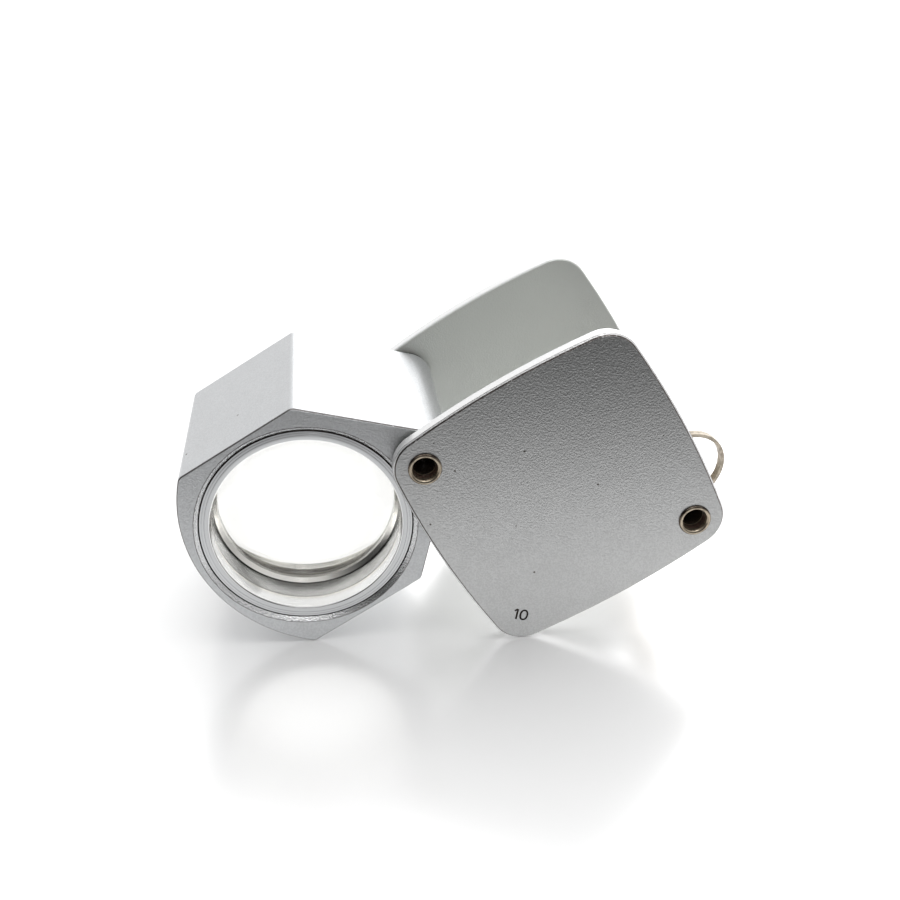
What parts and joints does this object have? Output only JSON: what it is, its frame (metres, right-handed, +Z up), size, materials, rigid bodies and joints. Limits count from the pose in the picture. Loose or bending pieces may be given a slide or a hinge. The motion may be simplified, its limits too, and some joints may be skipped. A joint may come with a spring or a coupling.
{
  "type": "folding hand lens",
  "caption": "Folding pocket hand lens: a deep hexagonal lens body swings out from between two rounded square cover plates, with a split ring for a lanyard.",
  "frame": {"origin": "on the pivot axis, midway between the two cover plates", "axes": "+Y along the pivot axis and the optical axis, from the front cover plate to the rear one; +Z up as the lens stands on its edges; +X from the lens body towards the lanyard corner"},
  "size_m": [0.0623, 0.0278, 0.036],
  "materials": {
    "body_paint": "satin silver paint with a fine sandy grain",
    "cover_paint": "satin silver paint with a fine sandy grain",
    "turned_aluminium": "fine turned, bright",
    "crown_glass": "polished",
    "flint_glass": "polished",
    "eyelet_nickel": "dulled nickel plate",
    "washer_steel": "plain steel",
    "split_ring_nickel": "warm nickel plate"
  },
  "bodies": {
    "cover": {"front_cover_plate": "cover_paint", "front_friction_washer": "washer_steel", "front_spring_washer": "washer_steel", "rear_cover_plate": "cover_paint", "rear_friction_washer": "washer_steel", "rear_spring_washer": "washer_steel", "pivot_eyelet": "eyelet_nickel", "lanyard_eyelet": "eyelet_nickel", "lanyard_sleeve": "eyelet_nickel"},
    "lens": {"lens_body": "body_paint", "lens_gap_ring": "turned_aluminium", "front_retaining_ring": "turned_aluminium", "front_glare_tube": "turned_aluminium", "front_crown_lens": "crown_glass", "front_flint_lens": "flint_glass", "rear_retaining_ring": "turned_aluminium", "rear_glare_tube": "turned_aluminium", "rear_crown_lens": "crown_glass", "rear_flint_lens": "flint_glass"},
    "ring": {"split_ring": "split_ring_nickel"}
  },
  "joints": [
    {"name": "lens_swing", "type": "hinge", "parent": "cover", "child": "lens", "pos_m": [0, 0, 0], "axis": [0, -1, 0], "range_deg": [-46.6, 133.4]},
    {"name": "split_ring_swing", "type": "hinge", "parent": "cover", "child": "ring", "pos_m": [0.02939, 0, -0.00814], "axis": [0, -1, 0], "range_deg": [-72, 0]}
  ]
}
